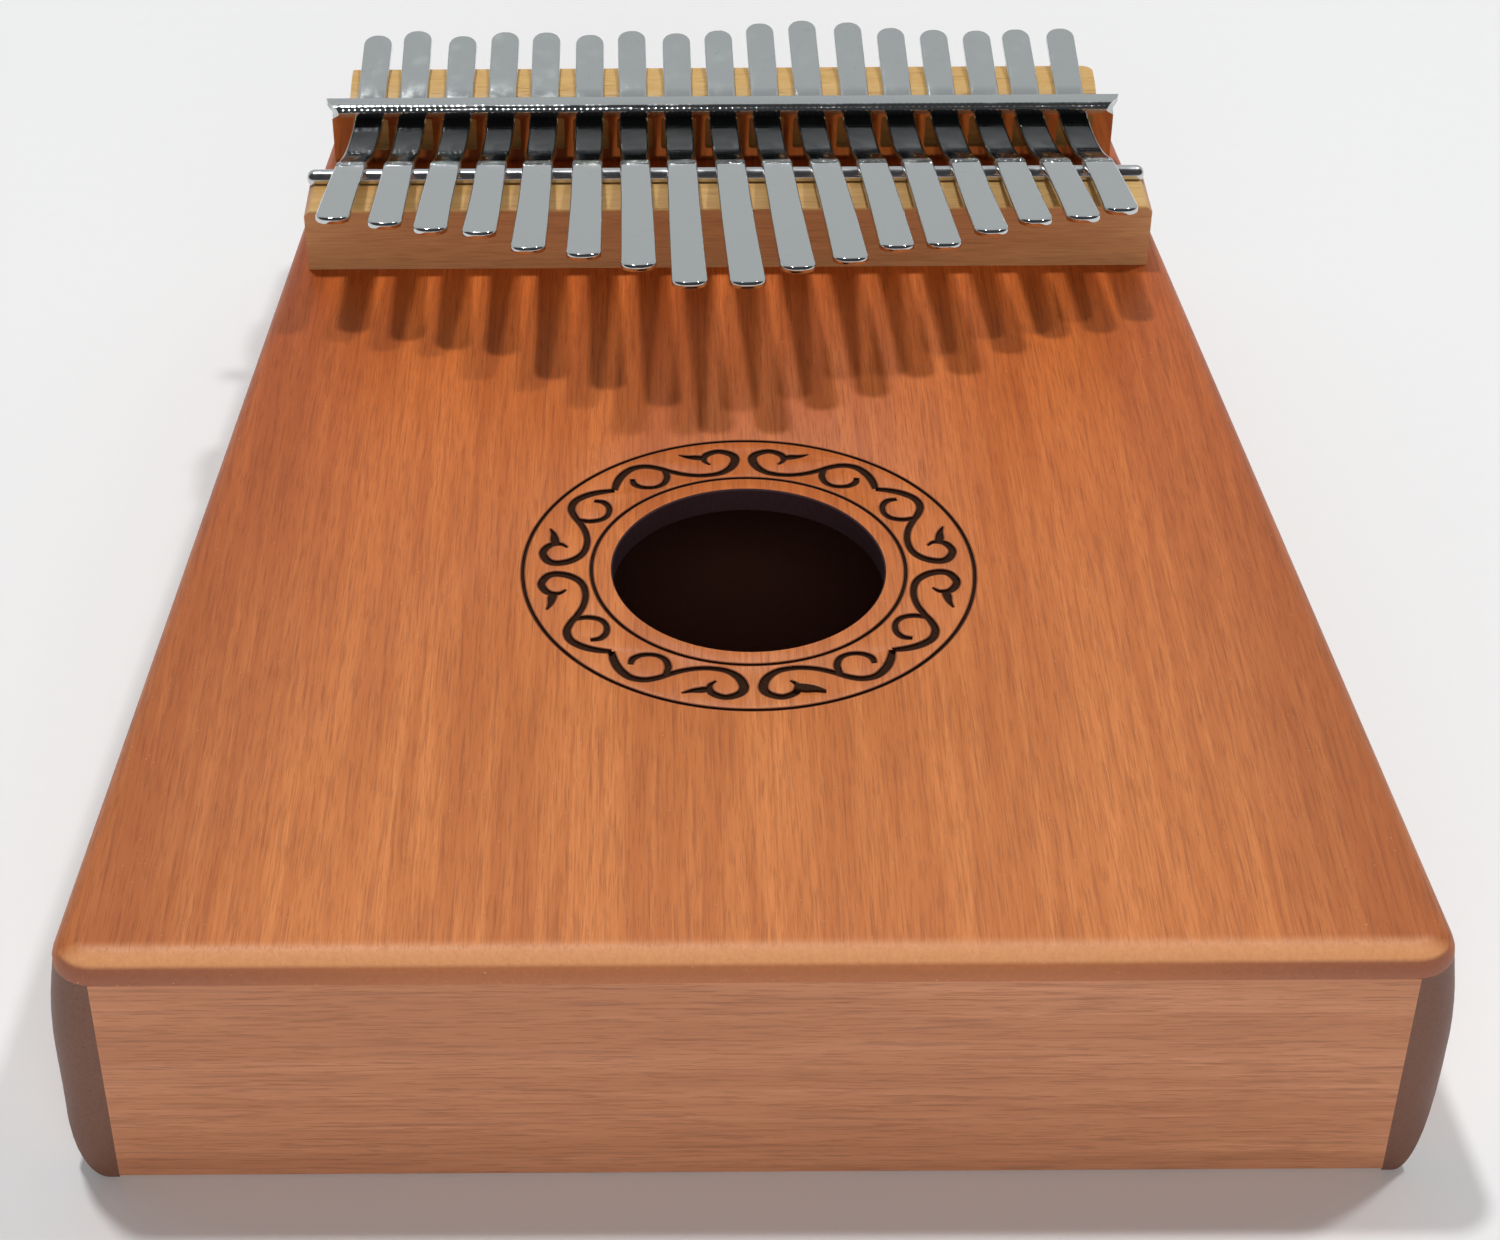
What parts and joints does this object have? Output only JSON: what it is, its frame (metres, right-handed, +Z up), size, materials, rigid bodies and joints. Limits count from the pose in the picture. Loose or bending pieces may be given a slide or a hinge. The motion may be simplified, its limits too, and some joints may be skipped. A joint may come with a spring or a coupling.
{
  "type": "box thumb piano",
  "caption": "Hollow wooden box thumb piano with a round sound hole, steel rod and wood bridges, a slotted clamp bracket and a row of springy steel tines.",
  "frame": {"origin": "centre of the body's length and width, on its underside", "axes": "+X across the instrument, +Y from the sound-hole end towards the bridges, +Z up through the top plate"},
  "size_m": [0.1365, 0.185, 0.0474],
  "materials": {
    "top_wood": "satin",
    "frame_wood": "satin",
    "inner_wood": "matt",
    "bridge_wood": "satin",
    "rod_steel": "polished",
    "bracket_chrome": "polished",
    "screw_steel": "satin",
    "tine_steel": "polished"
  },
  "bodies": {
    "box": {"top_plate": "top_wood", "back_plate": "frame_wood", "left_side": "frame_wood", "right_side": "frame_wood", "near_end_wall": "frame_wood", "far_end_wall": "frame_wood", "bridge_support_block": "inner_wood", "front_bridge": "bridge_wood", "rear_bridge": "bridge_wood", "front_bridge_rod": "rod_steel", "bracket": "bracket_chrome", "bracket_screws": "screw_steel", "tine_01_shank": "tine_steel", "tine_02_shank": "tine_steel", "tine_03_shank": "tine_steel", "tine_04_shank": "tine_steel", "tine_05_shank": "tine_steel", "tine_06_shank": "tine_steel", "tine_07_shank": "tine_steel", "tine_08_shank": "tine_steel", "tine_09_shank": "tine_steel", "tine_10_shank": "tine_steel", "tine_11_shank": "tine_steel", "tine_12_shank": "tine_steel", "tine_13_shank": "tine_steel", "tine_14_shank": "tine_steel", "tine_15_shank": "tine_steel", "tine_16_shank": "tine_steel", "tine_17_shank": "tine_steel"},
    "tine_01": {"tine_01_tongue": "tine_steel"},
    "tine_02": {"tine_02_tongue": "tine_steel"},
    "tine_03": {"tine_03_tongue": "tine_steel"},
    "tine_04": {"tine_04_tongue": "tine_steel"},
    "tine_05": {"tine_05_tongue": "tine_steel"},
    "tine_06": {"tine_06_tongue": "tine_steel"},
    "tine_07": {"tine_07_tongue": "tine_steel"},
    "tine_08": {"tine_08_tongue": "tine_steel"},
    "tine_09": {"tine_09_tongue": "tine_steel"},
    "tine_10": {"tine_10_tongue": "tine_steel"},
    "tine_11": {"tine_11_tongue": "tine_steel"},
    "tine_12": {"tine_12_tongue": "tine_steel"},
    "tine_13": {"tine_13_tongue": "tine_steel"},
    "tine_14": {"tine_14_tongue": "tine_steel"},
    "tine_15": {"tine_15_tongue": "tine_steel"},
    "tine_16": {"tine_16_tongue": "tine_steel"},
    "tine_17": {"tine_17_tongue": "tine_steel"}
  },
  "joints": [
    {"name": "tine_01_pluck", "type": "hinge", "parent": "box", "child": "tine_01", "pos_m": [0, 0.0423, 0.03845], "axis": [1, 0, 0], "range_deg": [-3, 4], "stiffness_Nm_per_rad": 7.31},
    {"name": "tine_02_pluck", "type": "hinge", "parent": "box", "child": "tine_02", "pos_m": [0, 0.0423, 0.03845], "axis": [1, 0, 0], "range_deg": [-3, 4], "stiffness_Nm_per_rad": 6.68},
    {"name": "tine_03_pluck", "type": "hinge", "parent": "box", "child": "tine_03", "pos_m": [0, 0.0423, 0.03845], "axis": [1, 0, 0], "range_deg": [-3, 4], "stiffness_Nm_per_rad": 6.1},
    {"name": "tine_04_pluck", "type": "hinge", "parent": "box", "child": "tine_04", "pos_m": [0, 0.0423, 0.03845], "axis": [1, 0, 0], "range_deg": [-3, 4], "stiffness_Nm_per_rad": 5.79},
    {"name": "tine_05_pluck", "type": "hinge", "parent": "box", "child": "tine_05", "pos_m": [0, 0.0423, 0.03845], "axis": [1, 0, 0], "range_deg": [-3, 4], "stiffness_Nm_per_rad": 4.79},
    {"name": "tine_06_pluck", "type": "hinge", "parent": "box", "child": "tine_06", "pos_m": [0, 0.0423, 0.03845], "axis": [1, 0, 0], "range_deg": [-3, 4], "stiffness_Nm_per_rad": 4.47},
    {"name": "tine_07_pluck", "type": "hinge", "parent": "box", "child": "tine_07", "pos_m": [0, 0.0423, 0.03845], "axis": [1, 0, 0], "range_deg": [-3, 4], "stiffness_Nm_per_rad": 4.02},
    {"name": "tine_08_pluck", "type": "hinge", "parent": "box", "child": "tine_08", "pos_m": [0, 0.0423, 0.03845], "axis": [1, 0, 0], "range_deg": [-3, 4], "stiffness_Nm_per_rad": 3.49},
    {"name": "tine_09_pluck", "type": "hinge", "parent": "box", "child": "tine_09", "pos_m": [0, 0.0423, 0.03845], "axis": [1, 0, 0], "range_deg": [-3, 4], "stiffness_Nm_per_rad": 3.48},
    {"name": "tine_10_pluck", "type": "hinge", "parent": "box", "child": "tine_10", "pos_m": [0, 0.0423, 0.03845], "axis": [1, 0, 0], "range_deg": [-3, 4], "stiffness_Nm_per_rad": 3.93},
    {"name": "tine_11_pluck", "type": "hinge", "parent": "box", "child": "tine_11", "pos_m": [0, 0.0423, 0.03845], "axis": [1, 0, 0], "range_deg": [-3, 4], "stiffness_Nm_per_rad": 4.22},
    {"name": "tine_12_pluck", "type": "hinge", "parent": "box", "child": "tine_12", "pos_m": [0, 0.0423, 0.03845], "axis": [1, 0, 0], "range_deg": [-3, 4], "stiffness_Nm_per_rad": 4.78},
    {"name": "tine_13_pluck", "type": "hinge", "parent": "box", "child": "tine_13", "pos_m": [0, 0.0423, 0.03845], "axis": [1, 0, 0], "range_deg": [-3, 4], "stiffness_Nm_per_rad": 4.87},
    {"name": "tine_14_pluck", "type": "hinge", "parent": "box", "child": "tine_14", "pos_m": [0, 0.0423, 0.03845], "axis": [1, 0, 0], "range_deg": [-3, 4], "stiffness_Nm_per_rad": 5.72},
    {"name": "tine_15_pluck", "type": "hinge", "parent": "box", "child": "tine_15", "pos_m": [0, 0.0423, 0.03845], "axis": [1, 0, 0], "range_deg": [-3, 4], "stiffness_Nm_per_rad": 6.59},
    {"name": "tine_16_pluck", "type": "hinge", "parent": "box", "child": "tine_16", "pos_m": [0, 0.0423, 0.03845], "axis": [1, 0, 0], "range_deg": [-3, 4], "stiffness_Nm_per_rad": 6.93},
    {"name": "tine_17_pluck", "type": "hinge", "parent": "box", "child": "tine_17", "pos_m": [0, 0.0423, 0.03845], "axis": [1, 0, 0], "range_deg": [-3, 4], "stiffness_Nm_per_rad": 7.94}
  ]
}
